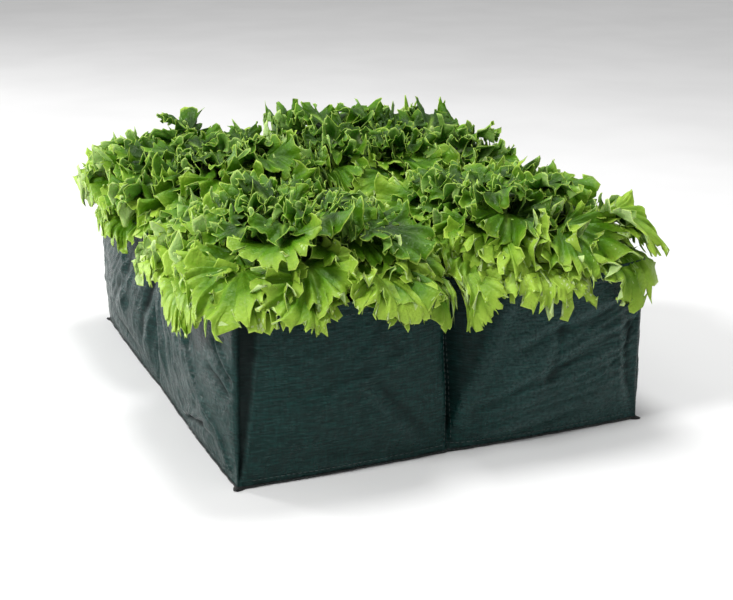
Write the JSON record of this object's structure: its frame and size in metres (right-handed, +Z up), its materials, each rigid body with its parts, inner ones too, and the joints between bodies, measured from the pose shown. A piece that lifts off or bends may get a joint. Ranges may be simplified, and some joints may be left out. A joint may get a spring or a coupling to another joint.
{
  "type": "grow bag",
  "caption": "Low rectangular grow bag of woven cloth, divided into pockets of potting mix, planted with ruffled lettuces that lift out.",
  "frame": {"origin": "on the ground, at the middle of the bag's base", "axes": "+Z up, X across the short side of the base, Y along its long side; the corner nearest the picture's camera is at -X, -Y"},
  "size_m": [0.56, 0.63, 0.292],
  "materials": {
    "woven_cloth": "woven, slight sheen",
    "binding_tape": "woven tape, matt",
    "potting_mix": "loose, crumbly, matt",
    "root_plug": "crumbly, matt",
    "stem": "smooth plant stem",
    "outer_leaf": "ruffled leaf, soft sheen",
    "heart_leaf": "ruffled leaf, soft sheen"
  },
  "bodies": {
    "bag": {"base_panel": "woven_cloth", "wall_front": "woven_cloth", "wall_right": "woven_cloth", "wall_back": "woven_cloth", "wall_left": "woven_cloth", "rim_hem_front": "woven_cloth", "rim_hem_right": "woven_cloth", "rim_hem_back": "woven_cloth", "rim_hem_left": "woven_cloth", "base_binding_front": "binding_tape", "base_binding_right": "binding_tape", "base_binding_back": "binding_tape", "base_binding_left": "binding_tape", "divider_long": "woven_cloth", "divider_short_right": "woven_cloth", "divider_short_left": "woven_cloth", "potting_mix_front_left": "potting_mix", "potting_mix_front_right": "potting_mix", "potting_mix_back_right": "potting_mix", "potting_mix_back_left": "potting_mix"},
    "lettuce_front_left": {"lettuce_front_left_root_plug": "root_plug", "lettuce_front_left_stem": "stem", "lettuce_front_left_outer_leaves": "outer_leaf", "lettuce_front_left_heart": "heart_leaf"},
    "lettuce_front_right": {"lettuce_front_right_root_plug": "root_plug", "lettuce_front_right_stem": "stem", "lettuce_front_right_outer_leaves": "outer_leaf", "lettuce_front_right_heart": "heart_leaf"},
    "lettuce_back_right": {"lettuce_back_right_root_plug": "root_plug", "lettuce_back_right_stem": "stem", "lettuce_back_right_outer_leaves": "outer_leaf", "lettuce_back_right_heart": "heart_leaf"},
    "lettuce_back_left": {"lettuce_back_left_root_plug": "root_plug", "lettuce_back_left_stem": "stem", "lettuce_back_left_outer_leaves": "outer_leaf", "lettuce_back_left_heart": "heart_leaf"}
  },
  "joints": [
    {"name": "lift_front_left", "type": "slide", "parent": "bag", "child": "lettuce_front_left", "axis": [0, 0, 1], "range_m": [0, 0.25]},
    {"name": "lift_front_right", "type": "slide", "parent": "bag", "child": "lettuce_front_right", "axis": [0, 0, 1], "range_m": [0, 0.25]},
    {"name": "lift_back_right", "type": "slide", "parent": "bag", "child": "lettuce_back_right", "axis": [0, 0, 1], "range_m": [0, 0.25]},
    {"name": "lift_back_left", "type": "slide", "parent": "bag", "child": "lettuce_back_left", "axis": [0, 0, 1], "range_m": [0, 0.25]}
  ]
}
